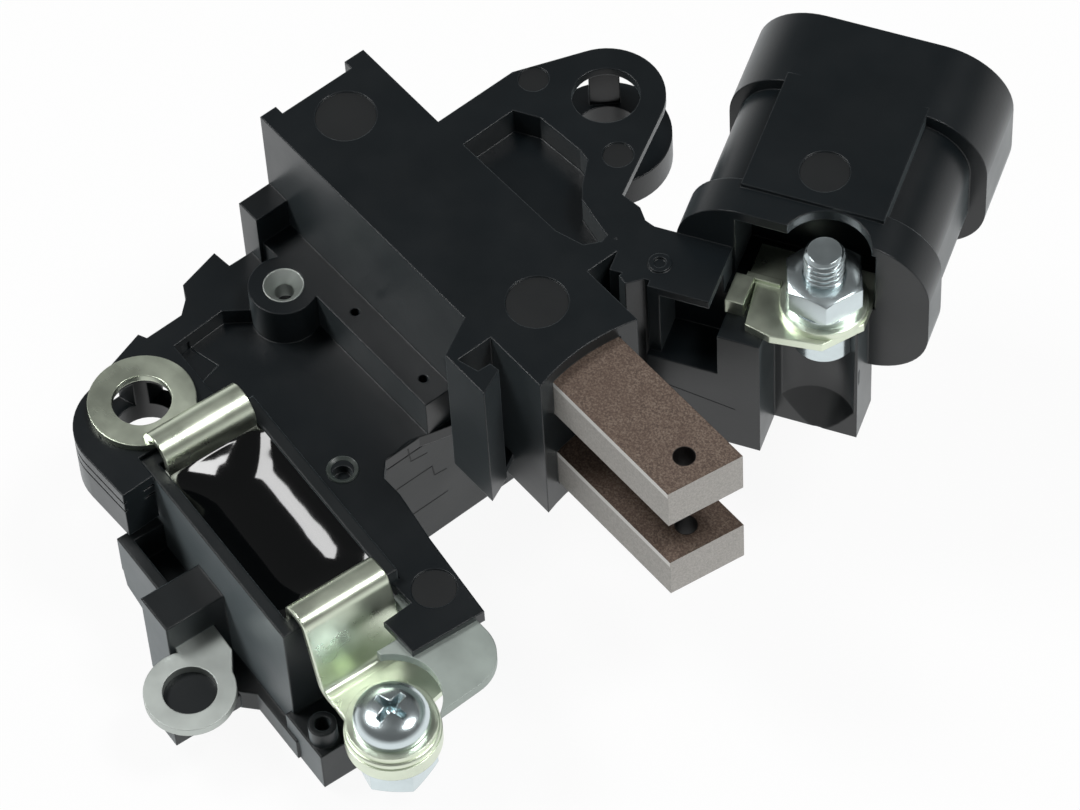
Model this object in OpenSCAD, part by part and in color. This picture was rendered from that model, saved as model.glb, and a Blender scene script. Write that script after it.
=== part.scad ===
// Alternator voltage regulator: brush holder, fixing ears, potted case, terminal block and plug shell.
// Millimetres. X is the way the brushes point and Z is up. The origin is the right fixing eye, at the top face.

/* [Brushes] */
// width of each brush
brush_w = 8; // [7.4:0.1:9]
// thickness of each brush
brush_t = 5.15; // [4.5:0.05:6]
// length of each brush
brush_l = 30; // [26:0.5:33]
// how far the longer edge of each brush stands out of the holder
brush_out = 17.3; // [12:0.1:18]
// distance between the two brushes
brush_pitch = 11.4; // [10.5:0.1:12]
// play round each brush in its channel
brush_clear = 0.1; // [0.05:0.01:0.2]
// how much shorter the brush is at its left edge
brush_slant = 1.2; // [0:0.1:2.5]
// radius of the cross hole near the brush tip
brush_hole_r = 1.05; // [0.6:0.05:1.4]
// wire thickness of the brush springs
spring_wire = 0.6; // [0.4:0.05:0.8]
// outer diameter of the brush springs
spring_d = 4.6; // [3.8:0.1:5]
// number of turns in each brush spring
spring_turns = 22; // [12:1:30]
// radius of the braided lead inside each spring
lead_r = 0.7; // [0.4:0.05:0.9]

/* [Brush holder] */
// length of the holder block
block_l = 42.1; // [40:0.1:46]
// wall between a channel and the side of the block
block_wall = 2.2; // [1.9:0.05:3]
// wall between a channel and the side of the nose
nose_wall = 1.75; // [1.2:0.05:1.85]
// depth of the holder from its top to its underside
holder_h = 21; // [20.5:0.1:24]
// thickness of the roof over the upper channel
roof_t = 1.5; // [1.1:0.1:2]
// thickness of the wall behind the springs
rear_wall = 2.4; // [1.6:0.1:4]
// radius of the hollow front face
nose_curve_r = 20; // [15:0.5:40]
// how far each guide wing stands out from the block
wing_w = 4.05; // [3.5:0.05:4.6]

/* [Right ear] */
// distance of the fixing eye behind the nose
eye_back = 22.4; // [21:0.1:24]
// distance of the fixing eye from the middle of the brushes
eye_side = 20.5; // [19.5:0.1:22]
// outer radius round the fixing eye
eye_r = 5.8; // [5.2:0.1:6.4]
// radius of the hole in the fixing eye
eye_bore_r = 3.3; // [2.6:0.1:3.7]
// thickness of the upper leaf of the eye
eye_leaf_t = 1; // [0.8:0.1:2]
// height of the slot between the leaves
eye_slot_h = 4.9; // [3:0.1:5.5]
// thickness of the whole right plate
right_plate_t = 9.5; // [9:0.1:11]
// depth of the pocket in the right plate
right_pocket_d = 3.2; // [2:0.1:5]

/* [Left plate] */
// drop from the top of the holder to the strip beside it
strip_drop = 14.2; // [12:0.1:15]
// drop to the raised shelf round the left ear
shelf_drop = 17; // [16:0.1:18]
// drop to the floor of the left plate
floor_drop = 19; // [18.4:0.1:19.4]
// thickness of the floor of the left plate
floor_t = 1.6; // [1.2:0.1:1.6]
// distance of the left ear behind the nose
ear_back = 33; // [32.6:0.1:34]
// distance of the left ear from the middle of the brushes
ear_side = 29.3; // [29:0.1:30]
// outer radius of the left ear
ear_r = 6.1; // [5.8:0.1:6.4]
// radius of the bore in the left ear
ear_bore_r = 3.3; // [3:0.1:3.8]
// height of the left ear
ear_h = 6.8; // [5:0.1:9]

/* [Regulator case] */
// length of the potted case
case_l = 24.9; // [24:0.1:26]
// width of the potted case
case_w = 12.9; // [12.4:0.1:13.6]
// wall thickness of the potted case
case_wall = 1.3; // [1:0.1:1.6]
// drop from the top of the holder to the rim of the case
case_drop = 17.5; // [17.3:0.1:18]
// drop from the top of the holder to the underside of the case
base_drop = 36.4; // [35:0.1:40]
// turn of the case against the brushes
case_turn = -4.2; // [-6:0.1:-3]
// play between the case and the housing
case_clear = 0.1; // [0.05:0.05:0.3]
// drop from the rim of the case to the resin
resin_drop = 0.8; // [0.4:0.1:1.5]

/* [Straps and screws] */
// thickness of the strap metal
strap_t = 0.8; // [0.6:0.1:1]
// outer radius of the ring on the left ear
ring_r = 5.3; // [4.8:0.1:5.8]
// radius of the hole in the ring on the left ear
ring_bore_r = 2.92; // [2.6:0.01:3]
// width of the folded link strap
link_w = 9.6; // [8.6:0.1:10]
// drop from the top of the holder to the ring of the link strap
link_drop = 24.2; // [23.5:0.1:26]
// outer radius of the rings of the link strap
link_ring_r = 4.6; // [4.3:0.1:5]
// outer radius of the threads
thread_r = 2; // [1.8:0.1:2.1]
// width of the nuts across their flats
nut_af = 7; // [6.6:0.1:7.4]
// height of the nuts
nut_h = 3.2; // [2.6:0.1:3.4]
// height of the nut under the folded strap
strap_nut_h = 4.1; // [3.2:0.1:5]
// radius of the screw head
head_r = 3.7; // [3.4:0.1:4]
// height of the screw head
head_h = 2.4; // [2:0.1:2.6]
// thickness of the flat washers
washer_t = 0.8; // [0.6:0.1:1]
// thickness of the ring under the link strap
spacer_t = 1.7; // [0.8:0.1:2]
// outer radius of the ring on the side lug
lug_r = 4.5; // [4:0.1:5]
// radius of the hole in the side lug
lug_bore_r = 2.65; // [2.2:0.05:3]
// thickness of the side lug
lug_t = 1; // [0.8:0.1:1.4]
// thickness of the support plate under the left arm
support_t = 1.1; // [0.8:0.1:1.4]

/* [Terminal block] */
// turn of the terminal block and plug against the brushes
plug_turn = 31; // [29:0.5:33]
// drop from the top of the holder to the top of the terminal block
terminal_drop = 4; // [3.6:0.1:5]
// height of the stud over the top of the holder
stud_rise = 5.4; // [4.6:0.1:7]
// radius of the collar of the stud
collar_r = 3.1; // [2.6:0.1:3.2]
// height of the collar of the stud
collar_h = 4.3; // [3:0.1:6.5]
// thickness of the plate under the stud's washers
plate_t = 1; // [0.8:0.1:1.2]

/* [Plug shell] */
// width of the plug shell
shell_w = 25.8; // [25:0.1:28]
// height of the plug shell
shell_h = 19.5; // [18:0.1:20.5]
// length of the plug shell
shell_l = 24.6; // [22:0.1:27]
// rounding of the plug shell
shell_r = 7; // [5.5:0.1:8]
// wall thickness of the plug shell
shell_wall = 2.3; // [2:0.1:2.6]
// depth of the socket inside the plug shell
socket_d = 18.5; // [14:0.1:20]
// depth of the grooves round the middle of the plug shell
groove_d = 1; // [0.5:0.1:1.2]
// length of the contact blades inside the socket
blade_l = 9; // [6:0.5:12]

/* [Hidden] */
$fn = 64;
eps = 0.01;
far = 60;
half_w = brush_w / 2 + brush_clear + block_wall;
nose_half = brush_w / 2 + brush_clear + nose_wall;
nose_sag = nose_curve_r - sqrt(nose_curve_r * nose_curve_r - nose_half * nose_half);
upper_z = -roof_t - brush_clear - brush_t / 2;
lower_z = upper_z - brush_pitch;
brush_back = brush_out - brush_l;
channel_back = rear_wall - block_l;
spring_l = brush_back - channel_back;
under_z = -floor_drop - floor_t;
case_x = -15.3;
case_y = -27.7;
case_side = -case_w / 2;
screw_x = 22.7;
screw_y = -1.5;
strap_nut_turn = -10;
lug_drop = 28;
lug_at = [6.03, case_side - 7.4];
eye_at = [-eye_back, eye_side];
ear_at = [-ear_back, -ear_side];
ear_round_at = [1.2 - ear_back, -ear_side - 1.7];
ear_wall_y = ear_round_at[1] - ear_r;
eyelet_at = [-33.7, -11.3];
wing_back = -7.35;
wing_h = 17.8;
support_z = -floor_drop - 0.8;
plug_mid = 2.3;
near_mid = 2;
plug_near = 7.6;
shell_z = -3.7;
shell_top = shell_z + shell_h / 2;
recess_floor = -10;
recess_a = [-9.8, -3.9];
pocket_a = [-4.6, 9.2];
pocket_roof = 4.4;
notch_r = 4.4;
stud_at = [4.7, 6.1];
niche_at = [4.7, 2];
niche_r = 4.35;
niche_rise = 4;
mark_d = 0.15;
groove_depth = 0.3;

BLACK = [0.09, 0.1, 0.11];
RESIN = [0.02, 0.02, 0.02];
ZINC = [0.72, 0.74, 0.68];
BLUE_ZINC = [0.72, 0.77, 0.8];
GREY_METAL = [0.68, 0.69, 0.68];
CARBON = [0.45, 0.36, 0.32];
COPPER = [0.72, 0.42, 0.25];
BOARD = [0.1, 0.3, 0.15];

// Moves the design frame, which starts at the nose, to the fixing eye.
module from_eye() {
    translate([eye_back, -eye_side, 0])
        children();
}

// Frame of the potted case: its middle, turned with it.
module at_case() {
    translate([case_x, case_y, 0])
        rotate([0, 0, case_turn])
            children();
}

// Frame of the terminal block and the plug.
module at_plug() {
    translate([7.45, 13.98, 0])
        rotate([0, 0, plug_turn])
            children();
}

// Upright slab over a plan outline, from one level up to another.
module slab(points, low, high) {
    translate([0, 0, low])
        linear_extrude(high - low)
            polygon(points);
}

// Box between two corners.
module block(from, to) {
    translate(from)
        cube(to - from);
}

// Round post at a point, from one level up to another.
module post(at, r, low, high) {
    translate([at[0], at[1], low])
        cylinder(r = r, h = high - low);
}

// Profile in the XZ plane, drawn out along Y between two values.
module drawn_y(points, from, to) {
    translate([0, to, 0])
        rotate([90, 0, 0])
            linear_extrude(to - from)
                polygon(points);
}

// Rectangle with round corners about the origin.
module round_rect(w, h, r) {
    square([w - 2 * r, h], center = true);
    square([w, h - 2 * r], center = true);
    for (x = [r - w / 2, w / 2 - r], y = [r - h / 2, h / 2 - r])
        translate([x, y])
            circle(r = r);
}

// Flat ring.
module ring(r, bore, h) {
    difference() {
        cylinder(r = r, h = h);
        translate([0, 0, -eps])
            cylinder(r = bore, h = h + 2 * eps);
    }
}

wing_edge = -half_w - wing_w;
wing = [[-10.7, -half_w], [-8.5, wing_edge], [-2.75, wing_edge], [-3.95, wing_edge + 2.75],
    [-5.05, wing_edge + 2.6], [-5.15, wing_edge + 1.2], [wing_back, wing_edge + 0.6], [wing_back, -nose_half + eps]];
slot_floor = [[-8.5, wing_edge + eps], [-2.75, wing_edge + eps], [-5.2, -nose_half + eps], [-8.5, -nose_half + eps]];

module holder() {
    difference() {
        union() {
            block([-block_l, -half_w, -holder_h], [wing_back, half_w, 0]);
            block([wing_back - eps, -nose_half, -holder_h], [nose_sag / 4, nose_half, 0]);
        }
        translate([nose_curve_r - nose_sag, 0, -holder_h - 1])
            cylinder(r = nose_curve_r, h = holder_h + 2, $fn = 128);
    }
    for (side = [0, 1])
        mirror([0, side, 0]) {
            slab(wing, -wing_h, 0);
            slab(slot_floor, -wing_h, 1 - wing_h);
        }
}

function eye_point(angle) = [-eye_back + eye_r * cos(angle), eye_side + eye_r * sin(angle)];

right_outline = [[-30.4, 0], [-30.5, 15.5], eye_point(161), eye_at, eye_point(31), [-12.2, 14.1],
    [-9.9, 14.4], [-8.4, 13.8], [-6.6, 14.1], [-5.2, 15], [-3, 12.5], [-2.6, -wing_edge - eps],
    [-8.6, -wing_edge - eps], [-8.6, 0]];
right_under = [[-30.4, 0], [-30.4, 15.2], [-25, 15.8], [-18, 16.2], [-15, 13.2], [-12, 12.2], [-6.6, 12.6],
    [-5.2, 13.4], [-3.2, 12], [-2.6, -wing_edge - eps], [-8.6, -wing_edge - eps], [-8.6, 0]];
right_pocket = [[-26.7, half_w + 0.1], [-26.8, 12.6], [-24.4, 14], [-18.9, 14.4], [-17.5, 14.2], [-15.5, 11.9],
    [-14.2, 10.8], [-12.2, 10.4], [-9.4, 9.9], [-9.1, 8.8], [-9.8, 7.6], [-13, half_w + 0.3]];

module right_plate() {
    difference() {
        union() {
            slab(right_outline, -eye_leaf_t, 0);
            slab(right_under, -right_plate_t, -eye_leaf_t + eps);
            post(eye_at, eye_r, -eye_leaf_t, 0);
            post(eye_at, eye_r + 0.5, -right_plate_t, -eye_leaf_t - eye_slot_h);
            translate([eye_at[0], eye_at[1], -right_plate_t])
                rotate([0, 0, 144])
                    translate([eye_bore_r + 0.3, -1.5, 0])
                        cube([eye_r - eye_bore_r - 0.5, 3, right_plate_t - eps]);
        }
        slab(right_pocket, -right_pocket_d, eps);
        for (at = [[-28.5, 16.5], [-16.1, 16.8]])
            post(at, 1.5, -mark_d, eps);
        post([-3.6, 11.55], 0.6, -3, eps);
        post([-5.45, 13.1], 0.9, -0.7, eps);
    }
    translate([-3.6, 11.55, -eps])
        ring(1.1, 0.6, 0.25);
}

ear_rim = [[-40.4, 0], [-40.8, -12.8], [-43, -13], [-41.9, -17.7], [-40.4, -18.5], [-39.1, -20], [-39.1, -24.2],
    [-40, -24.6], [-ear_back - 4.8, -ear_side - 2.9], [-ear_back, -ear_side - 2], [-26, -32]];
left_outline = concat(ear_rim, [[-6, -30], [-4, -23], [0.6, -23], [0.6, -26.3], [5, -26.3], [5.8, -18.3],
    [-3.9, -17.1], [-9.8, -16.1], [-12.3, -16.1], [-13.8, -14.7], [-14.1, -11.5], [-13.4, -9.4], [-10.8, 0]]);
shelf = concat(ear_rim, [[-26, -23.5], [-36.6, -22.8], [-36.9, -16.7], [-35.4, -14.8], [-33, -12], [-33, 0]]);

module left_plate() {
    slab(left_outline, under_z, -floor_drop);
    slab(shelf, under_z, -shelf_drop);
    block([-39.1, -half_w - 3.4, under_z], [-13.5, -half_w + 1, -strip_drop]);
    block([-41.9, -half_w - 3.8, under_z], [-39.1, -half_w + 1, -10.3]);
    post(eyelet_at, 3.5, under_z, -strip_drop);
    post(ear_at, ring_r - 0.2, -shelf_drop - ear_h, -shelf_drop);
    difference() {
        union() {
            post(ear_round_at, ear_r, -shelf_drop - ear_h, -shelf_drop);
            block([ear_round_at[0], ear_wall_y, -shelf_drop - ear_h], [case_x - case_l / 2 + 2, -ear_side, -shelf_drop]);
        }
        for (drop = [1.5, 2.8]) {
            translate([ear_round_at[0], ear_round_at[1], -shelf_drop - drop])
                ring(ear_r + 1, ear_r - groove_depth, groove_depth);
            block([ear_round_at[0], ear_wall_y - 1, -shelf_drop - drop],
                [case_x, ear_wall_y + groove_depth, groove_depth - shelf_drop - drop]);
        }
    }
}

// Windows beside the back web of the left ear.
module ear_windows() {
    for (turn = [103, 197])
        translate([ear_at[0], ear_at[1], -shelf_drop - 4.4])
            rotate([0, 0, turn])
                translate([0, -1.9, 0])
                    cube([ear_r + 2.8, 3.8, 3.5]);
}

// Half-round outline of the support plate under the left arm.
module support_shape(play) {
    offset_r = 4.25 + play;
    post([7.2, -23.4], offset_r, support_z - support_t, support_z);
    block([-1.5 - play, -28.5, support_z - support_t], [11.45 + play, -23.4, support_z]);
    block([-1.5 - play, -23.5, support_z - support_t], [7.2, -19.15 + play, support_z]);
}

module link_arm() {
    at_plug()
        difference() {
            union() {
                block([-15, 1.5, -holder_h], [-4.9, 7.6, 0]);
                block([-11, 0.8, -holder_h], [-4.9, 3, 0]);
                block([-11, 0, -holder_h], [0.3, 3, recess_floor]);
                block([recess_a[1], 0, -holder_h], [0.3, 8, -terminal_drop]);
                block([-4.9, 1.5, -holder_h], [8.6, 9, -terminal_drop]);
            }
            block([recess_a[0], -1, recess_floor], [recess_a[1], 5, -1]);
            block([0.3, -5, -holder_h - 1], [9, 4.4, 1 - terminal_drop]);
            post(niche_at, niche_r, -holder_h + niche_rise, 1 - terminal_drop);
            translate([niche_at[0], niche_at[1], -holder_h - eps])
                cylinder(r1 = niche_r - 1.9, r2 = niche_r, h = niche_rise + 2 * eps);
        }
}

module shell_section(inset) {
    round_rect(shell_w - 2 * inset, shell_h - 2 * inset, shell_r - inset);
}

// Section of the plug shell drawn out between two distances along the plug.
module along_plug(from, to, mid) {
    translate([mid, to, shell_z])
        rotate([90, 0, 0])
            linear_extrude(to - from)
                children();
}

module plug_shell() {
    far_end = plug_near + shell_l;
    at_plug()
        difference() {
            union() {
                along_plug(plug_near, far_end, near_mid)
                    shell_section(groove_d + 0.4);
                along_plug(plug_near, plug_near + 4, near_mid)
                    shell_section(0.4);
                along_plug(plug_near + 16, far_end, plug_mid)
                    shell_section(0);
                along_plug(plug_near + 3, plug_near + 17, near_mid)
                    square([14, shell_h], center = true);
            }
            along_plug(far_end - socket_d, far_end + 1, plug_mid)
                shell_section(shell_wall);
            post([near_mid, plug_near + 6.8], 2.4, shell_top - mark_d, far);
            block([pocket_a[0], -1, -terminal_drop], [pocket_a[1], plug_near + 4.8, pocket_roof]);
            post(stud_at, notch_r, -terminal_drop, far);
        }
}

module channels() {
    for (z = [upper_z, lower_z])
        translate([channel_back, -brush_w / 2 - brush_clear, z - brush_t / 2 - brush_clear])
            cube([far, brush_w + 2 * brush_clear, brush_t + 2 * brush_clear]);
}

module housing() {
    color(BLACK)
        from_eye()
            difference() {
                union() {
                    holder();
                    right_plate();
                    left_plate();
                    link_arm();
                    plug_shell();
                }
                channels();
                block([-block_l - 1, -4.4, -holder_h - 1], [1.05 - block_l, 4, 1]);
                post(eye_at, eye_bore_r, -right_plate_t - 1, 1);
                post(ear_at, ear_bore_r, -far, 1 - shelf_drop);
                ear_windows();
                for (x = [-36.8, -7.7])
                    post([x, 0], 3, -mark_d, 1);
                post([0.7, -20.3], 2.2, -floor_drop - mark_d, 1 - floor_drop);
                post([-15.2, -18.9], 1, -floor_drop - 1, 1 - floor_drop);
                eyelet_body(0);
                post(eyelet_at, 0.95, -far, 0);
                for (at = [[-26.6, -8], [-16.1, -7.9]])
                    post(at, 0.45, -strip_drop - 2, 1 - strip_drop);
                at_case()
                    block([-case_l / 2 - case_clear, case_side - case_clear, -far],
                        [case_l / 2 + case_clear, case_clear - case_side, far]);
                support_shape(0);
                pins();
                stud_root();
            }
}

module regulator_case() {
    color(BLACK)
        from_eye()
            difference() {
                union() {
                    at_case()
                        block([-case_l / 2, case_side, -base_drop], [case_l / 2, -case_side, -case_drop]);
                    block([-27.5, -24, -base_drop], [-13.8, -half_w - 2, under_z]);
                    block([-27.5, -half_w - 2, -base_drop], [-13.8, 3, -holder_h]);
                    at_case() {
                        block([12, case_side - 0.65, -base_drop], [18.1, 2, -31]);
                        post([16.2, case_side + 0.95], 1.4, -base_drop, -28.8);
                        bracket();
                    }
                }
                case_hollow();
                at_case()
                    post([16.2, case_side + 0.95], 0.8, -31, -28);
            }
}

// Channel on the outer wall of the case, with the block that holds the side lug.
module bracket() {
    outer = case_side - 4.55;
    inner = case_side - 3.3;
    drawn_y([[-10.9, -25], [-3, -25], [-3, -base_drop], [-8.2, -33.4], [-10.4, -32.6], [-10.9, -29]], outer, inner);
    block([-10.9, outer, -30.3], [-9.7, case_side + 0.5, -25]);
    block([-10.8, outer + 0.2, -30.2], [-3, case_side + 0.5, -lug_drop - lug_t]);
    block([-3.3, case_side - 6.6, -base_drop], [1.2, case_side + 0.5, -lug_drop - lug_t]);
    difference() {
        block([-3.3, case_side - 6.6, -lug_drop - lug_t], [1.2, case_side + 0.5, -24.3]);
        side_lug_shape();
    }
    block([1, case_side - 6.6, -31], [8.8, case_side - 3.5, -lug_drop - lug_t]);
    block([3.2, case_side - 11, -31], [8.8, case_side - 6.6 + eps, -lug_drop - lug_t]);
    slab([[1, case_side + 0.5], [1, case_side - 4], [5.8, case_side - 2.2], [7.1, case_side - 0.9],
        [13.9, case_side - 0.9], [13.9, case_side + 0.5]], -base_drop, -33.5);
}

module case_hollow() {
    at_case()
        block([case_wall - case_l / 2, case_side + case_wall, 2 - base_drop],
            [case_l / 2 - case_wall, -case_side - case_wall, 0]);
}

module potting() {
    color(RESIN)
        from_eye()
            difference() {
                at_case()
                    block([case_wall - case_l / 2, case_side + case_wall, 2 - base_drop],
                        [case_l / 2 - case_wall, -case_side - case_wall, -case_drop - resin_drop]);
                board();
                eye_strap();
                link_body();
            }
}

module board() {
    at_case()
        block([-9.5, -4.3, -31.6], [9.5, 4.3, -30]);
}

module circuit_board() {
    color(BOARD)
        from_eye()
            board();
}

// Ring on the left ear with its strap, which arches over the end wall of the case.
module eye_strap() {
    fold_x = case_wall / 2 - case_l / 2 + 0.1;
    fold_z = strap_t / 2 - shelf_drop;
    gap = case_wall / 2 + 0.75;
    half = case_w / 2 - case_wall - 0.15;
    at_case() {
        difference() {
            translate([fold_x, half, fold_z])
                rotate([90, 0, 0])
                    cylinder(r = gap + strap_t, h = 2 * half);
            translate([fold_x, half + 1, fold_z])
                rotate([90, 0, 0])
                    cylinder(r = gap, h = 2 * half + 2);
            block([-far, -far, -far], [far, far, fold_z]);
        }
        block([fold_x + gap, -half, -23], [fold_x + gap + strap_t, half, fold_z + eps]);
        block([fold_x - gap - strap_t, -half, -shelf_drop], [fold_x - gap, half, fold_z + eps]);
    }
    difference() {
        union() {
            post(ear_at, ring_r, -shelf_drop, strap_t - shelf_drop);
            at_case()
                slab([[-17, -2.9 - ring_r], [fold_x - gap, -half], [fold_x - gap, 0.9], [-14.5, 1.4],
                    [-17.4, -2.9]], -shelf_drop, strap_t - shelf_drop);
        }
        post(ear_at, ring_bore_r, -far, 0);
    }
}

module eye_terminal() {
    color(ZINC)
        from_eye()
            eye_strap();
}

module link_body() {
    low = -link_drop - strap_t;
    inner = case_l / 2 - case_wall - 0.1;
    at_case() {
        drawn_y([[inner - strap_t, -22], [inner - strap_t, -17.1], [inner + 0.2, -15.7], [13.2, -15.5],
            [14, -16.2], [16, -link_drop], [17.1, -link_drop], [17.1, low], [15.4, low], [13.2, -16.3],
            [inner + 0.7, -16.4], [inner, -17.2], [inner, -22]], -link_w / 2, link_w / 2);
        difference() {
            union() {
                post([screw_x, screw_y], link_ring_r, low, -link_drop);
                slab([[17, -link_w / 2], [screw_x, screw_y - link_ring_r], [screw_x, screw_y + link_ring_r],
                    [17, link_w / 2]], low, -link_drop);
            }
            post([screw_x, screw_y], thread_r + 0.1, -far, 0);
        }
    }
}

module link_strap() {
    color(ZINC)
        from_eye()
            link_body();
}

module strap_washer() {
    color(ZINC)
        from_eye()
            at_case() {
                translate([screw_x, screw_y, -link_drop])
                    ring(link_ring_r - 0.2, thread_r + 0.1, washer_t);
                translate([screw_x, screw_y, -link_drop - strap_t - spacer_t])
                    ring(link_ring_r + 0.1, thread_r + 0.1, spacer_t);
            }
}

module strap_screw() {
    top = washer_t - link_drop;
    shank_l = washer_t + strap_t + spacer_t + strap_nut_h + 0.6;
    color(BLUE_ZINC)
        from_eye()
            at_case()
                translate([screw_x, screw_y, top])
                    difference() {
                        union() {
                            cylinder(r = head_r, h = head_h / 2);
                            translate([0, 0, head_h / 2])
                                cylinder(r1 = head_r, r2 = head_r - 0.4, h = head_h / 2);
                            translate([0, 0, -shank_l])
                                cylinder(r = thread_r, h = shank_l + eps);
                        }
                        for (turn = [0, 90])
                            rotate([0, 0, turn])
                                translate([-2, -0.4, head_h - 1.6])
                                    cube([4, 0.8, 2]);
                    }
}

module nut(height) {
    difference() {
        cylinder(r = nut_af / 2 / cos(30), h = height, $fn = 6);
        translate([0, 0, -eps])
            cylinder(r = thread_r, h = height + 2 * eps);
    }
}

module strap_nut() {
    color(BLUE_ZINC)
        from_eye()
            at_case()
                translate([screw_x, screw_y, -link_drop - strap_t - spacer_t - strap_nut_h])
                    rotate([0, 0, strap_nut_turn])
                        nut(strap_nut_h);
}

module support_plate() {
    color(GREY_METAL)
        from_eye()
            difference() {
                support_shape(0);
                at_case() {
                    post([screw_x, screw_y], link_ring_r + 0.4, -far, 0);
                    block([-far, -far, -far], [17.6, link_w / 2 + 0.3, 0]);
                }
            }
}

module side_lug_shape() {
    translate([0, 0, -lug_drop - lug_t])
        linear_extrude(lug_t) {
            translate(lug_at)
                circle(r = lug_r);
            polygon([[0.4, case_side - 5.75], [2.2, case_side - 6.15], lug_at, [lug_at[0] + 3.6, lug_at[1] + 2.6],
                [4.6, case_side - 1.65], [0, case_side - 1.5], [-5.5, case_side - 1.5], [-5.5, case_side - 3.2],
                [-1, case_side - 3.2], [-1, case_side - 5.75]]);
        }
}

module side_lug() {
    color(GREY_METAL)
        from_eye()
            at_case()
                difference() {
                    side_lug_shape();
                    post(lug_at, lug_bore_r, -lug_drop - lug_t - 1, 1 - lug_drop);
                }
}

module stud_root() {
    at_plug() {
        post(stud_at, collar_r, -terminal_drop - collar_h, -terminal_drop);
    }
}

module stud() {
    color(BLUE_ZINC)
        from_eye() {
            stud_root();
            at_plug() {
                post(stud_at, thread_r, -terminal_drop - eps, stud_rise - 0.5);
                translate([stud_at[0], stud_at[1], stud_rise - 0.5])
                    cylinder(r1 = thread_r, r2 = thread_r - 0.45, h = 0.5);
            }
        }
}

module stud_plate() {
    top = plate_t - terminal_drop;
    color(ZINC)
        from_eye()
            at_plug()
                difference() {
                    union() {
                        slab([[-1.6, 1.5], [1, 0.9], [6, 1.5], [9, 5], [9, 11], [-3.1, 11], [-3.1, 7.2], [-2.2, 6.6]],
                            -terminal_drop, top);
                        block([-4.1, 3, -terminal_drop], [-2.3, 6.4, top - 0.2]);
                        block([-2.8, 6.4, -terminal_drop], [-1.9, 7.3, top]);
                        block([-4.1, 3, top - 0.3], [-2.3, 6.4, top + 0.9]);
                        block([-3.2, 6.5, top - eps], [0.2, 7.2, top + 0.5]);
                    }
                    post(stud_at, thread_r + 0.1, -far, 1);
                }
}

module stud_stack(level) {
    from_eye()
        at_plug()
            translate([stud_at[0], stud_at[1], plate_t - terminal_drop + level])
                children();
}

module stud_flat_washer() {
    color(ZINC)
        stud_stack(0)
            ring(4.2, thread_r + 0.1, washer_t);
}

module stud_spring_washer() {
    color(BLUE_ZINC)
        stud_stack(washer_t)
            difference() {
                ring(3.6, thread_r + 0.1, 1);
                rotate([0, 0, 200])
                    translate([0, -0.25, -1])
                        cube([5, 0.5, 3]);
            }
}

module stud_nut() {
    color(BLUE_ZINC)
        stud_stack(washer_t + 1)
            rotate([0, 0, -9])
                nut(nut_h);
}

module brush(z) {
    color(CARBON)
        from_eye()
            translate([0, 0, z - brush_t / 2])
                difference() {
                    linear_extrude(brush_t)
                        polygon([[brush_back, -brush_w / 2], [brush_out - brush_slant, -brush_w / 2],
                            [brush_out, brush_w / 2], [brush_back, brush_w / 2]]);
                    translate([brush_out - 3.5, -0.1, -1])
                        cylinder(r = brush_hole_r, h = brush_t + 2);
                }
}

module upper_brush() {
    brush(upper_z);
}

module lower_brush() {
    brush(lower_z);
}

// Brush spring with its turns drawn as close rings along X.
module spring(z) {
    mean_r = (spring_d - spring_wire) / 2;
    pitch = (spring_l - spring_wire) / spring_turns;
    color(BLUE_ZINC)
        from_eye()
            translate([channel_back, 0, z])
                rotate([0, 90, 0])
                    rotate_extrude() {
                        for (k = [0 : spring_turns])
                            translate([mean_r, spring_wire / 2 + k * pitch])
                                circle(r = spring_wire / 2, $fn = 14);
                        translate([mean_r - spring_wire / 8, spring_wire / 2])
                            square([spring_wire / 4, spring_l - spring_wire]);
                    }
}

module upper_spring() {
    spring(upper_z);
}

module lower_spring() {
    spring(lower_z);
}

module lead(z) {
    color(COPPER)
        from_eye()
            translate([channel_back, 0, z])
                rotate([0, 90, 0])
                    cylinder(r = lead_r, h = spring_l);
}

module upper_lead() {
    lead(upper_z);
}

module lower_lead() {
    lead(lower_z);
}

// Contact blades of the plug.

module pins() {
    at_plug()
        for (a = [plug_mid - 5.5, plug_mid, plug_mid + 5.5])
            block([a - 1.2, plug_near + shell_l - socket_d - 1, shell_z - 0.4],
                [a + 1.2, plug_near + shell_l - socket_d + blade_l, shell_z + 0.4]);
}

module connector_pins() {
    color(ZINC)
        from_eye()
            pins();
}

module eyelet_body(bore) {
    difference() {
        union() {
            post(eyelet_at, 2.05, -strip_drop - 0.6, 0.1 - strip_drop);
            post(eyelet_at, 1.5, -strip_drop - 3, 0.1 - strip_drop);
        }
        if (bore > 0)
            post(eyelet_at, bore, -far, 0);
    }
}

module fixing_eyelet() {
    color(ZINC)
        from_eye()
            eyelet_body(0.95);
}

housing();
regulator_case();
potting();
circuit_board();
eye_terminal();
link_strap();
strap_screw();
strap_washer();
strap_nut();
support_plate();
side_lug();
stud();
stud_plate();
stud_flat_washer();
stud_spring_washer();
stud_nut();
upper_brush();
lower_brush();
upper_spring();
lower_spring();
upper_lead();
lower_lead();
connector_pins();
fixing_eyelet();
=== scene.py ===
import math

import bpy
from mathutils import Matrix, Vector


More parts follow.
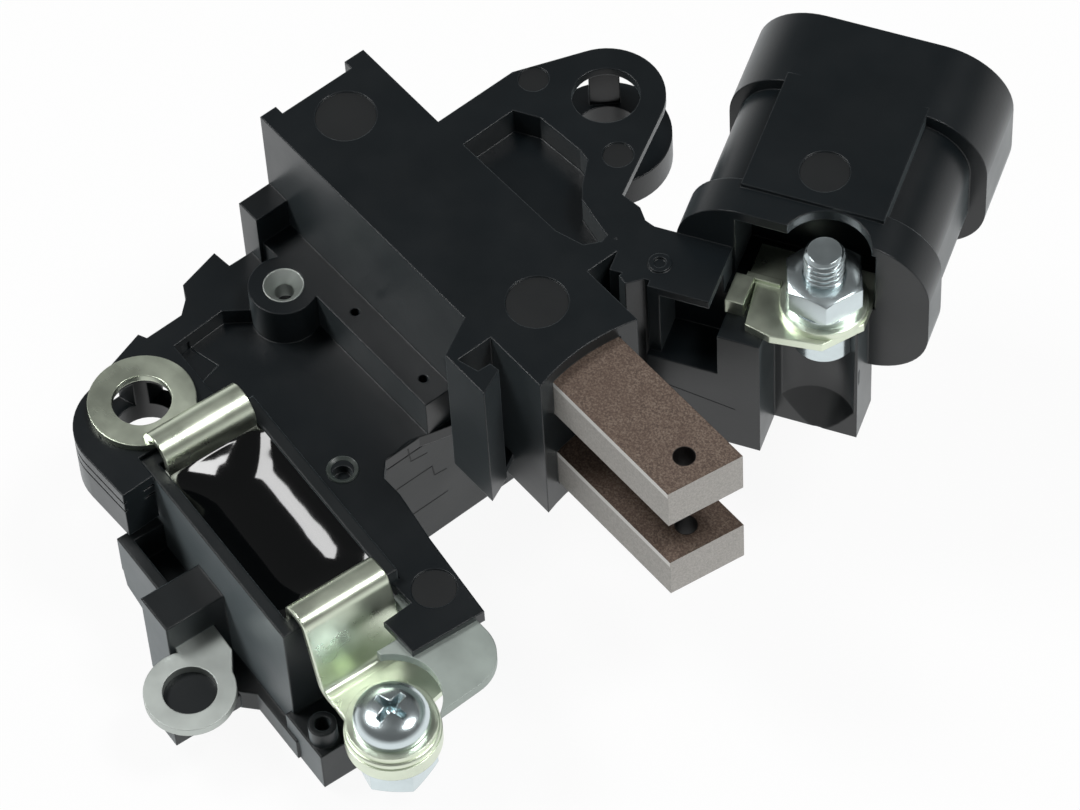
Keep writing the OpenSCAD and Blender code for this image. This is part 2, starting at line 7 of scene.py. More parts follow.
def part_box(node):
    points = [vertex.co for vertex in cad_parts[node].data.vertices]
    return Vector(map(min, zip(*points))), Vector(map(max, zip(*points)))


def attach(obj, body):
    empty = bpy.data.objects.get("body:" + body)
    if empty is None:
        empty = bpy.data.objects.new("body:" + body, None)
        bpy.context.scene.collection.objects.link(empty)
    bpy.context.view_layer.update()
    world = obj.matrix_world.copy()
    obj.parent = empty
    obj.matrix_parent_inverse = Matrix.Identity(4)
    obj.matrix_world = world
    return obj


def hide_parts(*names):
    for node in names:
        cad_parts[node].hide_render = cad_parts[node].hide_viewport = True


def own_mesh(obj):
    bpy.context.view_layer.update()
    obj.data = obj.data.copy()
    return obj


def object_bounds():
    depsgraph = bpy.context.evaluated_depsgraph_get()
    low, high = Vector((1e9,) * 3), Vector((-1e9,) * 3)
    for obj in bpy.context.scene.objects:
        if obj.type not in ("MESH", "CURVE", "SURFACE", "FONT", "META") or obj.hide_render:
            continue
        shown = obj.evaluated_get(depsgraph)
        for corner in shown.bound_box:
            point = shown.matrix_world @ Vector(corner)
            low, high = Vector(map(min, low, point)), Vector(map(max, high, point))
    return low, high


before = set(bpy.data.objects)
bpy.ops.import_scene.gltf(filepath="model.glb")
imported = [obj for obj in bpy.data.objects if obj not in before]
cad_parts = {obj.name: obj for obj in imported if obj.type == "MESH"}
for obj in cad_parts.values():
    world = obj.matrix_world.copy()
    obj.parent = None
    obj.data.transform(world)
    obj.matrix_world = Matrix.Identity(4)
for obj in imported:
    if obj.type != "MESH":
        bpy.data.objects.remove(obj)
start_low, start_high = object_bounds()

# Lengths are in millimetres here, and turn into Blender's metres where a mesh is made
MM = 0.001
EYE = Vector((22.4, -20.5, 0.0))  # from the nose of the holder to the fixing eye
CASE_MIDDLE, CASE_TURN = (-15.3, -27.7), math.radians(-4.2)  # from the nose
PLUG_MIDDLE, PLUG_TURN = (7.45, 13.98), math.radians(31)  # from the nose
EAR_MIDDLE, WINDOW_TURN = (-33, -29.3), math.radians(103)  # the left ear and its window, from the nose
BRUSH_HOLE = (36.2, -20.6, 1.05)  # place and radius of the brush's hole, which the carbon material paints near black as shade
THREAD_R, THREAD_DEPTH, THREAD_PITCH = 2, 0.36, 0.7  # an M4 thread
ROUND = 56  # sides of a turned form
SMOOTH = math.radians(28)  # sharper edges than this stay sharp


# Materials

class Nodes:
    """Short calls for the nodes used here, in the tree of a material or of the world."""

    def __init__(self, owner):
        owner.use_nodes = True
        self.owner = owner
        self.tree = owner.node_tree
        self.bsdf = self.tree.nodes.get("Principled BSDF")

    def add(self, kind, **values):
        node = self.tree.nodes.new(kind)
        for key, value in values.items():
            setattr(node, key, value)
        return node

    def join(self, a, b):
        self.tree.links.new(a, b)

    def coords(self, scale=(1, 1, 1)):
        tex = self.add("ShaderNodeTexCoord")
        mapping = self.add("ShaderNodeMapping")
        mapping.inputs["Scale"].default_value = scale
        self.join(tex.outputs["Object"], mapping.inputs["Vector"])
        return mapping.outputs["Vector"]

    def noise(self, vector, scale, detail, rough=0.55):
        node = self.add("ShaderNodeTexNoise")
        node.inputs["Scale"].default_value = scale
        node.inputs["Detail"].default_value = detail
        node.inputs["Roughness"].default_value = rough
        self.join(vector, node.inputs["Vector"])
        return node.outputs["Fac"]

    def span(self, value, low, high, to_low, to_high):
        """Value moved from one range to another, and kept inside it."""
        node = self.add("ShaderNodeMapRange")
        node.inputs["From Min"].default_value = low
        node.inputs["From Max"].default_value = high
        node.inputs["To Min"].default_value = to_low
        node.inputs["To Max"].default_value = to_high
        self.join(value, node.inputs["Value"])
        return node.outputs["Result"]

    def ramp(self, value, *stops):
        node = self.add("ShaderNodeValToRGB")
        ramp = node.color_ramp
        while len(ramp.elements) < len(stops):
            ramp.elements.new(0.5)
        for element, (at, colour) in zip(ramp.elements, stops):
            element.position = at
            element.color = (*colour, 1)
        self.join(value, node.inputs["Fac"])
        return node.outputs["Color"]

    def bump(self, height, strength, distance, normal=None):
        node = self.add("ShaderNodeBump")
        node.inputs["Strength"].default_value = strength
        node.inputs["Distance"].default_value = distance
        self.join(height, node.inputs["Height"])
        if normal is not None:
            self.join(normal, node.inputs["Normal"])
        return node.outputs["Normal"]

    def soft_edges(self, radius):
        """Normal that rounds the edges, with the radius in metres."""
        node = self.add("ShaderNodeBevel", samples=6)
        node.inputs["Radius"].default_value = radius
        return node.outputs["Normal"]

    def axes(self, vector):
        node = self.add("ShaderNodeSeparateXYZ")
        self.join(vector, node.inputs["Vector"])
        return node.outputs

    def math(self, operation, *values):
        node = self.add("ShaderNodeMath", operation=operation)
        for socket, value in zip(node.inputs, values):
            if isinstance(value, (int, float)):
                socket.default_value = value
            else:
                self.join(value, socket)
        return node.outputs["Value"]

    def blend(self, share, a, b):
        """Colour a where share is 0, colour b where it is 1."""
        node = self.add("ShaderNodeMix", data_type="RGBA")
        self.join(share, node.inputs["Factor"])
        for socket, colour in ((node.inputs[6], a), (node.inputs[7], b)):
            if isinstance(colour, (tuple, list)):
                socket.default_value = (*colour, 1)
            else:
                self.join(colour, socket)
        return node.outputs[2]

    def worn(self, soft, grain):
        """1 along edges, where handling has rubbed the surface, broken up by a grain."""
        geo = self.add("ShaderNodeNewGeometry")
        dot = self.add("ShaderNodeVectorMath", operation="DOT_PRODUCT")
        self.join(geo.outputs["Normal"], dot.inputs[0])
        self.join(soft, dot.inputs[1])
        edge = self.span(dot.outputs["Value"], 0.995, 0.86, 0, 1)
        return self.math("MULTIPLY", edge, self.span(grain, 0.3, 0.6, 0.25, 1))

    def set(self, **values):
        for key, value in values.items():
            self.bsdf.inputs[key.replace("_", " ")].default_value = value


def material(name):
    return Nodes(bpy.data.materials.new(name))


def plastic(name, colour, rough, edge, dust=0.2):
    """Satin moulding with a fine grain, worn edges and a little dust."""
    m = material(name)
    v = m.coords()
    broad = m.noise(v, 70, 3)
    fine = m.noise(v, 2200, 2)
    soft = m.soft_edges(edge)
    body = m.ramp(broad, (0.3, [c * 0.9 for c in colour]), (0.7, [c * 1.12 for c in colour]))
    rubbed = [c * 2 + 0.008 for c in colour]
    m.join(m.blend(m.worn(soft, fine), body, rubbed), m.bsdf.inputs["Base Color"])
    m.join(m.span(m.noise(v, 160, 3), 0.3, 0.7, rough - 0.03, rough + 0.04), m.bsdf.inputs["Roughness"])
    m.join(m.bump(fine, 0.22, 0.00002, soft), m.bsdf.inputs["Normal"])
    m.set(IOR=1.46, Sheen_Weight=dust, Sheen_Roughness=0.35, Sheen_Tint=(0.8, 0.95, 1, 1))
    return m.owner


def resin(name):
    """Glossy black resin with slow waves."""
    m = material(name)
    v = m.coords()
    m.set(Base_Color=(0.001, 0.0014, 0.0016, 1), Roughness=0.07, IOR=1.5)
    waves = m.bump(m.noise(v, 110, 2), 0.25, 0.0003)
    m.join(m.bump(m.noise(v, 3000, 2), 0.05, 0.00001, waves), m.bsdf.inputs["Normal"])
    return m.owner


def metal(name, colour, rough, grain=(1, 1, 1), share=1.0):
    """Plated metal: clouded, and brushed where the grain is drawn out along one axis."""
    m = material(name)
    lines = m.noise(m.coords(grain), 500, 4)
    cloud = m.noise(m.coords(), 180, 4)
    light = [min(1, c * 1.08) for c in colour]
    m.join(m.ramp(cloud, (0.3, [c * 0.86 for c in colour]), (0.7, light)), m.bsdf.inputs["Base Color"])
    m.join(m.span(cloud, 0.3, 0.7, rough - 0.04, rough + 0.1), m.bsdf.inputs["Roughness"])
    m.join(m.bump(lines, 0.2, 0.00002, m.soft_edges(0.00015)), m.bsdf.inputs["Normal"])
    m.set(Metallic=share)
    return m.owner


def carbon(name, node):
    """Copper-carbon block: brown above, pale ground sides, a near-white band under its left top edge that is a
    painted highlight of the chamfer catching the light, and near-black painted shade in its hole.
    """
    top_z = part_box(node)[1][2] / MM
    m = material(name)
    v = m.coords()
    grains = m.noise(v, 5200, 3, 0.65)
    patches = m.noise(v, 420, 3, 0.6)
    top = m.ramp(grains, (0.34, (0.066, 0.046, 0.036)), (0.5, (0.135, 0.093, 0.07)), (0.68, (0.24, 0.19, 0.15)))
    top = m.blend(m.span(patches, 0.35, 0.65, 0.35, 0), top, (0.09, 0.055, 0.04))
    side = m.ramp(grains, (0.3, (0.36, 0.345, 0.32)), (0.65, (0.52, 0.5, 0.47)))
    facing = m.axes(m.add("ShaderNodeNewGeometry").outputs["True Normal"])
    place = m.axes(v)
    up = m.math("ABSOLUTE", facing["Z"])
    # Painted highlight: the left-facing side is painted near white just under the top edge, where the chamfer
    # catches the light
    left = m.span(facing["Y"], -0.95, -0.85, 1, 0)
    high = m.span(place["Z"], (top_z - 0.8) * MM, (top_z - 0.65) * MM, 0, 1)
    sides = m.blend(m.math("MULTIPLY", left, high), side, (0.8, 0.79, 0.76))
    faces = m.blend(m.span(up, 0.85, 0.95, 0, 1), sides, top)
    # Painted shade: the brush's hole and a thin rim round it are painted near black, standing for the shade
    # inside the hole
    hole_x, hole_y, hole_r = BRUSH_HOLE
    away_x = m.math("SUBTRACT", place["X"], hole_x * MM)
    away_y = m.math("SUBTRACT", place["Y"], hole_y * MM)
    square = m.math("ADD", m.math("MULTIPLY", away_x, away_x), m.math("MULTIPLY", away_y, away_y))
    hole = m.span(m.math("SQRT", square), (hole_r + 0.02) * MM, (hole_r + 0.1) * MM, 1, 0)
    m.join(m.blend(hole, faces, (0.012, 0.01, 0.009)), m.bsdf.inputs["Base Color"])
    m.join(m.bump(grains, 0.3, 0.00004, m.soft_edges(0.00012)), m.bsdf.inputs["Normal"])
    m.set(Metallic=0.2, Roughness=0.55)
    return m.owner


BLACK = plastic("black_moulding", (0.002, 0.0045, 0.0062), 0.33, 0.0002)
CASE = plastic("case_moulding", (0.0024, 0.0048, 0.006), 0.4, 0.0003, dust=0.45)
SEAM = plastic("mould_seam", (0.0016, 0.002, 0.0024), 0.6, 0.00002)
MARK = plastic("ejector_mark", (0.002, 0.0032, 0.0038), 0.5, 0.00002)
# Painted reflection: the plate's sleeve is black moulding, painted mid grey for the light it catches on its
# mouth
SLEEVE_PAINTED_REFLECTION = plastic("sleeve_painted_reflection", (0.045, 0.055, 0.05), 0.3, 0.0001)
RESIN = resin("potting_resin")
BOARD = plastic("board_laminate", (0.03, 0.12, 0.05), 0.5, 0.0001)
ZINC = metal("zinc_plate", (0.75, 0.82, 0.67), 0.28, grain=(1, 14, 1))
BLUE = metal("blue_zinc", (0.68, 0.77, 0.79), 0.2)
GREY = metal("tinned_grey", (0.56, 0.6, 0.57), 0.46, share=0.85)
DULL = metal("dull_grey", (0.4, 0.45, 0.42), 0.5, share=0.85)
SPRING = metal("spring_wire", (0.55, 0.55, 0.55), 0.3)
COPPER = metal("copper_braid", (0.72, 0.36, 0.2), 0.45)

LOOKS = {
    "housing": BLACK, "regulator_case": CASE, "potting": RESIN, "circuit_board": BOARD,
    "eye_terminal": ZINC, "link_strap": ZINC, "strap_screw": BLUE, "strap_washer": ZINC, "strap_nut": BLUE,
    "support_plate": DULL, "side_lug": GREY,
    "stud": BLUE, "stud_plate": ZINC, "stud_flat_washer": ZINC, "stud_spring_washer": BLUE, "stud_nut": BLUE,
    "upper_brush": carbon("upper_copper_carbon", "upper_brush"),
    "lower_brush": carbon("lower_copper_carbon", "lower_brush"),
    "upper_spring": SPRING, "lower_spring": SPRING, "upper_lead": COPPER, "lower_lead": COPPER,
    "connector_pins": ZINC, "fixing_eyelet": ZINC,
}
for name, look in LOOKS.items():
    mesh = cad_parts[name].data
    mesh.materials.clear()
    mesh.materials.append(look)


# Places

def from_nose(x, y, z):
    return Vector((x, y, z)) + EYE


def turned(middle, turn, x, y, z):
    """Point given along the axes of a form that is turned about its middle."""
    return from_nose(middle[0] + x * math.cos(turn) - y * math.sin(turn),
                     middle[1] + x * math.sin(turn) + y * math.cos(turn), z)


def from_case(x, y, z):
    return turned(CASE_MIDDLE, CASE_TURN, x, y, z)


def from_plug(x, y, z):
    return turned(PLUG_MIDDLE, PLUG_TURN, x, y, z)


def from_window(x, y, z):
    return turned(EAR_MIDDLE, WINDOW_TURN, x, y, z)


def extent(node):
    """A node's corners and its middle."""
    low, high = (Vector(corner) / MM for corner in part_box(node))
    return low, high, (low + high) / 2


# Meshes


def metres(verts):
    return [tuple(c * MM for c in v) for v in verts]


def smooth(mesh):
    mesh.shade_smooth()
    mesh.set_sharp_from_angle(angle=SMOOTH)


def made(name, verts, faces, look, node, replace=True):
    """Piece on the holder's body that replaces a CAD node and hides it, or lies on it and leaves it shown."""
    mesh = bpy.data.meshes.new(name)
    mesh.from_pydata(metres(verts), [], faces)
    mesh.validate()
    smooth(mesh)
    mesh.materials.append(look)
    piece = bpy.data.objects.new(name, mesh)
    bpy.context.scene.collection.objects.link(piece)
    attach(piece, "holder")
    if replace:
        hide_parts(node)
    return piece


def added(name, verts, faces, look, node):
    return made(name, verts, faces, look, node, replace=False)


def rings(levels, sides, shut=False):
    """Points and faces of a form made of rings, with capped ends, or joined end to end when shut."""
    faces = []
    count = len(levels)
    for j in range(count if shut else count - 1):
        for i in range(sides):
            a, b = j * sides + i, j * sides + (i + 1) % sides
            c = (j + 1) % count * sides
            faces.append((a, b, c + (i + 1) % sides, c + i))
    if not shut:
        faces.append(tuple(reversed(range(sides))))
        faces.append(tuple((count - 1) * sides + i for i in range(sides)))
    return [p for level in levels for p in level], faces


def joined(forms):
    """Points and faces of several forms in one mesh."""
    verts, faces = [], []
    for points, patch in forms:
        faces += [tuple(len(verts) + i for i in face) for face in patch]
        verts += points
    return verts, faces


def blocks(corners):
    """Points and faces of blocks, from the eight corners of each, the lower four first."""
    verts, faces = [], []
    for eight in corners:
        n = len(verts)
        verts += eight
        faces += [(n + 3, n + 2, n + 1, n), (n + 4, n + 5, n + 6, n + 7)]
        faces += [(n + i, n + (i + 1) % 4, n + 4 + (i + 1) % 4, n + 4 + i) for i in range(4)]
    return verts, faces


def circle(at, r, z, sides=ROUND):
    """Ring of points at one height, where r is a number or a function of the angle."""
    points = []
    for i in range(sides):
        t = 2 * math.pi * i / sides
        reach = r(t) if callable(r) else r
        points.append((at[0] + reach * math.cos(t), at[1] + reach * math.sin(t), z))
    return points


def thread(z):
    """Radius round the screw thread at one height, as a function of the angle."""
    def radius(t):
        phase = (z / THREAD_PITCH - t / (2 * math.pi)) % 1
        rise = min(1, max(0, (1 - abs(2 * phase - 1) - 0.2) / 0.55))
        root = THREAD_R - THREAD_DEPTH
        return root + (THREAD_R - root) * rise
    return radius


def threaded(at, low, high):
    """Rings of a threaded rod from low to high, with a chamfer at high."""
    rows = int(abs(high - low) / THREAD_PITCH * 9)
    levels = []
    for j in range(rows + 1):
        z = low + (high - low) * j / rows
        cut = THREAD_R - max(0, 0.5 - abs(high - z)) * 0.8
        levels.append(circle(at, lambda t, form=thread(z), most=cut: min(form(t), most), z))
    return levels


# Fasteners

def nut(name, node, turn):
    """Hexagon nut with chamfered corners on both faces, turned by some degrees."""
    low, high, mid = extent(node)
    flat, bore, soft, sides = 3.5, 1.75, 0.3, 96
    turn = math.radians(turn)

    def corner(t):
        return flat / math.cos((t - turn) % (math.pi / 3) - math.pi / 6)

    def fall(t):
        return (corner(t) - flat * 0.97) * 0.5

    def level(r, z):
        spin = (2 * math.pi * i / sides + turn for i in range(sides))
        return [(mid.x + r(t) * math.cos(t), mid.y + r(t) * math.sin(t), z(t)) for t in spin]

    z0, z1 = low.z, high.z
    levels = [
        level(lambda t: bore + soft, lambda t: z0), level(lambda t: flat * 0.97, lambda t: z0),
        level(corner, lambda t: z0 + fall(t)), level(corner, lambda t: z1 - fall(t)),
        level(lambda t: flat * 0.97, lambda t: z1), level(lambda t: bore + soft, lambda t: z1),
        level(lambda t: bore, lambda t: z1 - soft), level(lambda t: bore, lambda t: z0 + soft),
    ]
    made(name, *rings(levels, sides, shut=True), BLUE, node)


def stud():
    """Threaded stud on its round collar."""
    low, high, mid = extent("stud")
    collar, collar_h, soft = (high.x - low.x) / 2, 4.3, 0.25
    base = low.z + collar_h
    levels = [circle(mid, collar - soft, low.z), circle(mid, collar, low.z + soft),
              circle(mid, collar, base - soft), circle(mid, collar - soft, base)]
    made("stud_threaded", *rings(levels + threaded(mid, base, high.z), ROUND), BLUE, "stud")


def recess(mid, top):
    """Hidden cutter for a cross recess: four blades that taper towards the shank."""
    verts, faces = [], []
    for turn in (12, 102):
        for side in (-1, 1):
            t = math.radians(turn)
            n = len(verts)
            for wide, deep, reach in ((0.45, 0.1, 2.0), (0.2, -1.6, 0.8)):
                for u, w in ((-0.05, -wide), (reach, -wide * 0.8), (reach, wide * 0.8), (-0.05, wide)):
                    verts.append((mid.x + side * (u * math.cos(t) - w * math.sin(t)),
                                  mid.y + side * (u * math.sin(t) + w * math.cos(t)), top + deep))
            faces += [(n, n + 1, n + 2, n + 3), (n + 7, n + 6, n + 5, n + 4)]
            faces += [(n + i, n + 4 + i, n + 4 + (i + 1) % 4, n + (i + 1) % 4) for i in range(4)]
    mesh = bpy.data.meshes.new("cross")
    mesh.from_pydata(metres(verts), [], faces)
    cutter = bpy.data.objects.new("cross", mesh)
    bpy.context.scene.collection.objects.link(cutter)
    return cutter


def screw():
    """Pan head with a cross recess, and a threaded shank."""
    low, high, mid = extent("strap_screw")
    head, head_h = (high.x - low.x) / 2, 2.4
    seat = high.z - head_h
    levels = threaded(mid, low.z, seat)
    for r, z in ((head - 0.15, 0), (head, 0.15), (head, 0.55), (head - 0.07, 0.95), (head - 0.25, 1.35),
                 (head - 0.55, 1.68), (head - 1, 1.96), (head - 1.6, 2.17), (head - 2.3, 2.3),
                 (head - 3, 2.37), (0.3, head_h)):
        levels.append(circle(mid, r, seat + z))
    piece = made("screw_cross_head", *rings(levels, ROUND), BLUE, "strap_screw")
    cutter = recess(mid, high.z)
    cut = piece.modifiers.new("cross", "BOOLEAN")
    cut.object = cutter
    cut.solver = "EXACT"
    cut.use_self = True
    bpy.context.view_layer.update()
    got = bpy.data.meshes.new_from_object(piece.evaluated_get(bpy.context.evaluated_depsgraph_get()))
    piece.modifiers.clear()
    piece.data = got
    bpy.data.objects.remove(cutter)
    smooth(got)


# Springs, leads, resin and sheet metal

def coil(name, node, wire, turns, radius, look, strands=1):
    """Helical wires along X, in one or more strands."""
    low, high, mid = extent(node)
    steps, sides = int(turns * 26), 8
    forms = []
    for strand in range(strands):
        levels = []
        for j in range(steps + 1):
            share = j / steps
            phi = 2 * math.pi * (turns * share + strand / strands)
            x = low.x + wire + (high.x - low.x - 2 * wire) * share
            levels.append([(x + wire * math.sin(q), mid.y + (radius + wire * math.cos(q)) * math.cos(phi),
                            mid.z + (radius + wire * math.cos(q)) * math.sin(phi))
                           for q in (2 * math.pi * i / sides for i in range(sides))])
        forms.append(rings(levels, sides))
    piece = made(name, *joined(forms), look, node)
    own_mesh(piece)


def potting():
    """Resin with its edge drawn up the walls of the case."""
    low, high, mid = extent("potting")
    half_x, half_y, cols, rows = 11.15, 5.15, 140, 70
    reach, rise, sink, leg_face = 4.8, 1.45, 0.95, 9.5
    verts = []
    for j in range(rows + 1):
        for i in range(cols + 1):
            x = half_x * (2 * i / cols - 1)
            y = half_y * (2 * j / rows - 1)
            from_end = half_x - x if x > 0 else max(0, x + leg_face)
            flat_x = 1 - max(0, 1 - from_end / reach) ** 2
            flat_y = 1 - max(0, 1 - (half_y - abs(y)) / reach) ** 2
            lift = rise * (1 - flat_x * flat_y)
            verts.append((mid.x + x * math.cos(CASE_TURN) - y * math.sin(CASE_TURN),
                          mid.y + x * math.sin(CASE_TURN) + y * math.cos(CASE_TURN), high.z - sink + lift))
    wide = cols + 1
    faces = [(j * wide + i, j * wide + i + 1, (j + 1) * wide + i + 1, (j + 1) * wide + i)
             for j in range(rows) for i in range(cols)]
    rim = (list(range(wide)) + [j * wide + cols for j in range(1, rows + 1)]
           + [rows * wide + i for i in range(cols - 1, -1, -1)] + [j * wide for j in range(rows - 1, 0, -1)])
    start, count = len(verts), len(rim)
    verts += [(verts[i][0], verts[i][1], low.z) for i in rim]
    faces += [(rim[(i + 1) % count], rim[i], start + i, start + (i + 1) % count) for i in range(count)]
    faces.append(tuple(start + i for i in range(count)))
    made("potting_surface", verts, faces, RESIN, "potting")


def rounded(path, reach, steps=10):
    """Path in a plane with its corners turned into smooth bends."""
    path = [Vector(p) for p in path]
    points = [path[0]]
    for before, at, after in zip(path, path[1:], path[2:]):
        a = at + (before - at).normalized() * reach
        b = at + (after - at).normalized() * reach
        points += [a.lerp(at, k / steps).lerp(at.lerp(b, k / steps), k / steps) for k in range(steps + 1)]
    return points + [path[-1]]


def link():
    """Folded strap with round bends, then its flat ring under the screw."""
    half, thick, soft = 4.8, 0.4, 0.12  # half its width, half its thickness, and the break of its edges
    path = rounded([(10.65, -22), (10.65, -16.0), (13.25, -15.75), (15.55, -24.6), (17, -24.6)], 1.05)
    section = [(-half, -thick + soft), (-half + soft, -thick), (half - soft, -thick), (half, -thick + soft),
               (half, thick - soft), (half - soft, thick), (-half + soft, thick), (-half, thick - soft)]
    fold = []
    for k, at in enumerate(path):
        along = (path[min(k + 1, len(path) - 1)] - path[max(k - 1, 0)]).normalized()
        fold.append([tuple(from_case(at.x - along.y * up, y, at.y + along.x * up)) for y, up in section])

    at, bore, rim, sides = Vector((22.7, -1.5)), 2.1, 4.6, 120
    neck_x, neck_left, neck_right = 16.9, 6.3, 3.3

    def outline(t):
        """Reach of the ring, which widens into the strap on its left."""
        way = Vector((math.cos(t), math.sin(t)))
        if way.x >= -0.02:
            return rim
        side = neck_left if way.y > 0 else neck_right
        return max(rim, min((at.x - neck_x) / -way.x, side / max(abs(way.y), 1e-6)))

    low, high = -25.0, -24.2
    loops = ((bore, 0, low + soft), (bore + soft, 0, low), (-soft, 1, low), (0, 1, low + soft),
             (0, 1, high - soft), (-soft, 1, high), (bore + soft, 0, high), (bore, 0, high - soft))
    flat = []
    for reach, outer, z in loops:
        level = []
        for i in range(sides):
            t = 2 * math.pi * i / sides
            r = reach + outer * outline(t)
            level.append(tuple(from_case(at.x + r * math.cos(t), at.y + r * math.sin(t), z)))
        flat.append(level)
    forms = (rings(fold, len(section)), rings(flat, sides, shut=True))
    made("link_strap_folded", *joined(forms), ZINC, "link_strap")


def eyelet():
    """Small sleeve with a countersunk mouth."""
    low, high, mid = extent("fixing_eyelet")
    levels = [circle(mid, r, z) for r, z in (
        (0.95, low.z), (0.95, high.z - 1.2), (1.05, high.z - 1.05), (1.8, high.z - 0.25), (1.9, high.z - 0.08),
        (2.0, high.z - 0.06), (2.05, high.z - 0.12), (2.05, high.z - 0.7), (1.5, high.z - 0.7), (1.5, low.z))]
    made("eyelet_countersunk", *rings(levels, ROUND, shut=True), GREY, "fixing_eyelet")


# Small forms on the mouldings

def plate_patch():
    """Floor and wall of the left plate's pocket where the ear's window runs out under it."""
    half = 1.9
    corners = [[tuple(from_window(u, w, z)) for z in (z0, z1)
                for u, w in ((u0, -half), (u1, -half), (u1, half), (u0, half))]
               for u0, u1, z0, z1 in ((5.6, 8.9, -20.6, -19.0), (4.6, 6.0, -20.6, -17.9))]
    added("left_plate_patch", *blocks(corners), BLACK, "housing")


def strips(name, lines, node):
    """Flat seams: each is a start, an end, the way out of the face and a width."""
    corners = []
    for a, b, out, width in lines:
        across = (b - a).cross(out).normalized() * width / 2
        corners.append([tuple(q + out * lift) for lift in (-0.05, 0.02)
                        for q in (a - across, b - across, b + across, a + across)])
    added(name, *blocks(corners), SEAM, node)


def case_seams():
    """Mould lines on the wall under the left plate's notch, as places across it and heights."""
    wall, out, width = -13.8, Vector((1, 0, 0)), 0.14
    lines = (((-12, -19.7), (-11.8, -22)), ((-11.8, -22), (-9.8, -22.4)), ((-13.8, -25), (-9.4, -25.1)),
             ((-9.4, -25.1), (-9.2, -26.8)), ((-9.2, -26.8), (-7.7, -27.1)), ((-13.7, -30.8), (-7.8, -30.9)))
    strips("case_seams", [(from_nose(wall, *a), from_nose(wall, *b), out, width) for a, b in lines],
           "regulator_case")


def block_seams():
    """Mould lines on the front and the right side of the terminal block."""
    front = (from_plug(0, -1, 0) - from_plug(0, 0, 0)).normalized()
    right = (from_plug(1, 0, 0) - from_plug(0, 0, 0)).normalized()
    strips("block_seams", [(from_plug(-9, 0, -14), from_plug(-2.2, 0, -15.2), front, 0.1),
                           (from_plug(8.6, 4.9, -10.6), from_plug(8.6, 4.9, -12.7), right, 0.35)], "housing")


def ejector_marks():
    """Thin round marks on the holder, the left plate, the right ear and the connector."""
    sides, forms = 48, []
    for at, r in ((from_nose(-36.8, 0, -0.15), 2.95), (from_nose(-7.7, 0, -0.15), 2.95),
                  (from_nose(0.7, -20.3, -19.15), 2.15), (from_nose(-28.5, 16.5, -0.15), 1.45),
                  (from_nose(-16.1, 16.8, -0.15), 1.45), (from_plug(2, 14.4, 5.9), 2.35)):
        forms.append(rings([circle(at, r, at.z - 0.04, sides), circle(at, r, at.z + 0.006, sides)], sides))
    added("ejector_marks", *joined(forms), MARK, "housing")


def notch_ledge():
    """Ledge that closes the gap between the left plate's notch and the wall under it."""
    back, near, far = -15.6, -15.4, -10.2
    levels = [[from_nose(*p, z) for p in ((back, near), (face, near), (face, far), (back, far))]
              for face, z in ((-13.8, -20.8), (-13.8, -19.14), (-13.9, -19.04))]
    added("notch_ledge", *rings(levels, 4), BLACK, "housing")


def plate_sleeve():
    """Small sleeve in the left plate, with a mouth that narrows down to its bore, painted mid grey as a painted
    reflection of the light on the black moulding.
    """
    at, sides = from_nose(-15.6, -18.55, -19), 48
    levels = [circle(at, r, at.z + up, sides) for r, up in
              ((1.6, -0.3), (1.6, 0.08), (1.5, 0.22), (1.14, 0.02), (0.7, -1.1), (0.7, -1.8))]
    added("plate_sleeve", *rings(levels, sides, shut=True), SLEEVE_PAINTED_REFLECTION, "housing")


stud()
screw()
link()
eyelet()
plate_patch()
nut("stud_nut_chamfered", "stud_nut", 22)
nut("strap_nut_chamfered", "strap_nut", -14.2)
potting()
for level in ("upper", "lower"):
    coil(level + "_spring_coil", level + "_spring", 0.3, 22, 2, SPRING)
    coil(level + "_lead_braid", level + "_lead", 0.34, 9, 0.34, COPPER, strands=3)
case_seams()
ejector_marks()
notch_ledge()
plate_sleeve()
block_seams()


# Floor, light and camera, all in metres

AIM = (0.024, -0.0277, -0.01)
VIEW_TARGET, VIEW_DISTANCE = Vector((0.024, -0.0277, 0)), 0.5077
FLOOR_GAP, FLOOR_SIZE = 0.0002, 6


def either(m, *names):
    """1 where the ray is one of the named kinds."""
    path = m.add("ShaderNodeLightPath")
    out = path.outputs[names[0]]
    for name in names[1:]:
        out = m.math("MAXIMUM", out, path.outputs[name])
    return out


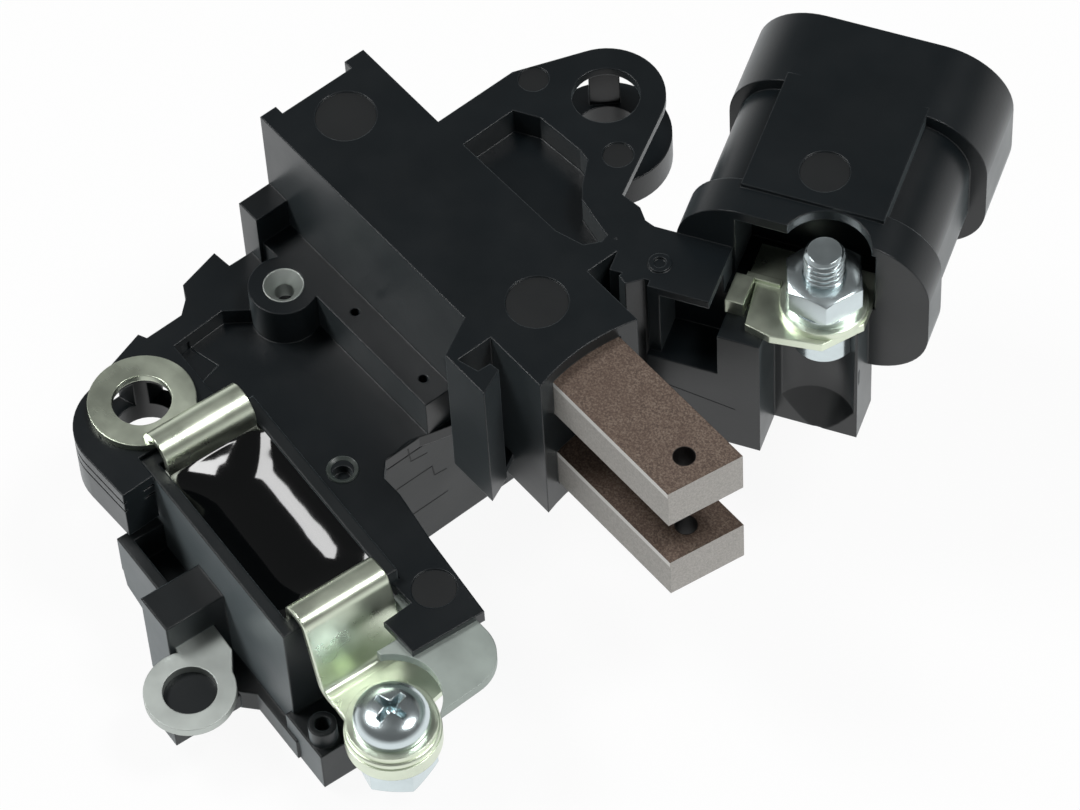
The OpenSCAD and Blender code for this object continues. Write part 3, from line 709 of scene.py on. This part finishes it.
def floor():
    """White floor that keeps the shadow, and that lenses and mirrors see nearly white."""
    bpy.ops.mesh.primitive_plane_add(size=FLOOR_SIZE, location=(AIM[0], AIM[1], start_low[2] - FLOOR_GAP))
    plane = bpy.context.object
    plane.name = "floor"
    m = material("floor_white")
    m.set(Base_Color=(0.95, 0.95, 0.95, 1), Roughness=0.9)
    white = m.add("ShaderNodeEmission")
    white.inputs["Color"].default_value = (1, 1, 1, 1)
    white.inputs["Strength"].default_value = 1.0
    seen = either(m, "Is Camera Ray", "Is Glossy Ray", "Is Transmission Ray")
    mix = m.add("ShaderNodeMixShader")
    m.join(m.math("MULTIPLY", seen, 0.93), mix.inputs[0])
    m.join(m.bsdf.outputs[0], mix.inputs[1])
    m.join(white.outputs[0], mix.inputs[2])
    m.join(mix.outputs[0], m.tree.nodes["Material Output"].inputs["Surface"])
    plane.data.materials.append(m.owner)


def backdrop():
    """Studio with a dim ceiling above pale walls."""
    w = Nodes(bpy.data.worlds.new("studio"))
    bpy.context.scene.world = w.owner
    back = w.tree.nodes["Background"]
    back.inputs["Color"].default_value = (1, 1, 1, 1)
    height = w.axes(w.add("ShaderNodeTexCoord").outputs["Generated"])["Z"]
    w.join(w.span(height, 0.05, 0.45, 0.8, 0.15), back.inputs["Strength"])


def lamp(name, place, size, power):
    """Square soft box aimed at the object."""
    data = bpy.data.lights.new(name, "AREA")
    data.energy = power
    data.size = size
    light = bpy.data.objects.new(name, data)
    light.location = place
    light.rotation_mode = "QUATERNION"
    light.rotation_quaternion = (Vector(AIM) - Vector(place)).to_track_quat("-Z", "Y")
    bpy.context.scene.collection.objects.link(light)


def camera():
    """Camera at the photograph's angle, given by its azimuth, elevation and roll."""
    az, el, roll = (math.radians(x) for x in (53.91, 55.02, -3.75))
    right = Vector((math.cos(az), math.sin(az), 0))
    up = Vector((-math.sin(az) * math.sin(el), math.cos(az) * math.sin(el), math.cos(el)))
    back = Vector((math.sin(az) * math.cos(el), -math.cos(az) * math.cos(el), math.sin(el)))
    side = right * math.cos(roll) + up * math.sin(roll)
    top = up * math.cos(roll) - right * math.sin(roll)
    place = VIEW_TARGET + back * VIEW_DISTANCE
    data = bpy.data.cameras.new("camera")
    data.lens = 183.33
    data.sensor_width = 36
    data.clip_start, data.clip_end = 0.01, 20
    cam = bpy.data.objects.new("camera", data)
    cam.matrix_world = Matrix([(side[i], top[i], back[i], place[i]) for i in range(3)] + [(0, 0, 0, 1)])
    bpy.context.scene.collection.objects.link(cam)
    bpy.context.scene.camera = cam


floor()
backdrop()
camera()
lamp("right_box", (0.264, 0.243, 0.702), 0.22, 2.8)
lamp("left_box", (-0.346, -0.241, 0.665), 0.24, 2.6)
bpy.context.scene.view_settings.view_transform = "Standard"
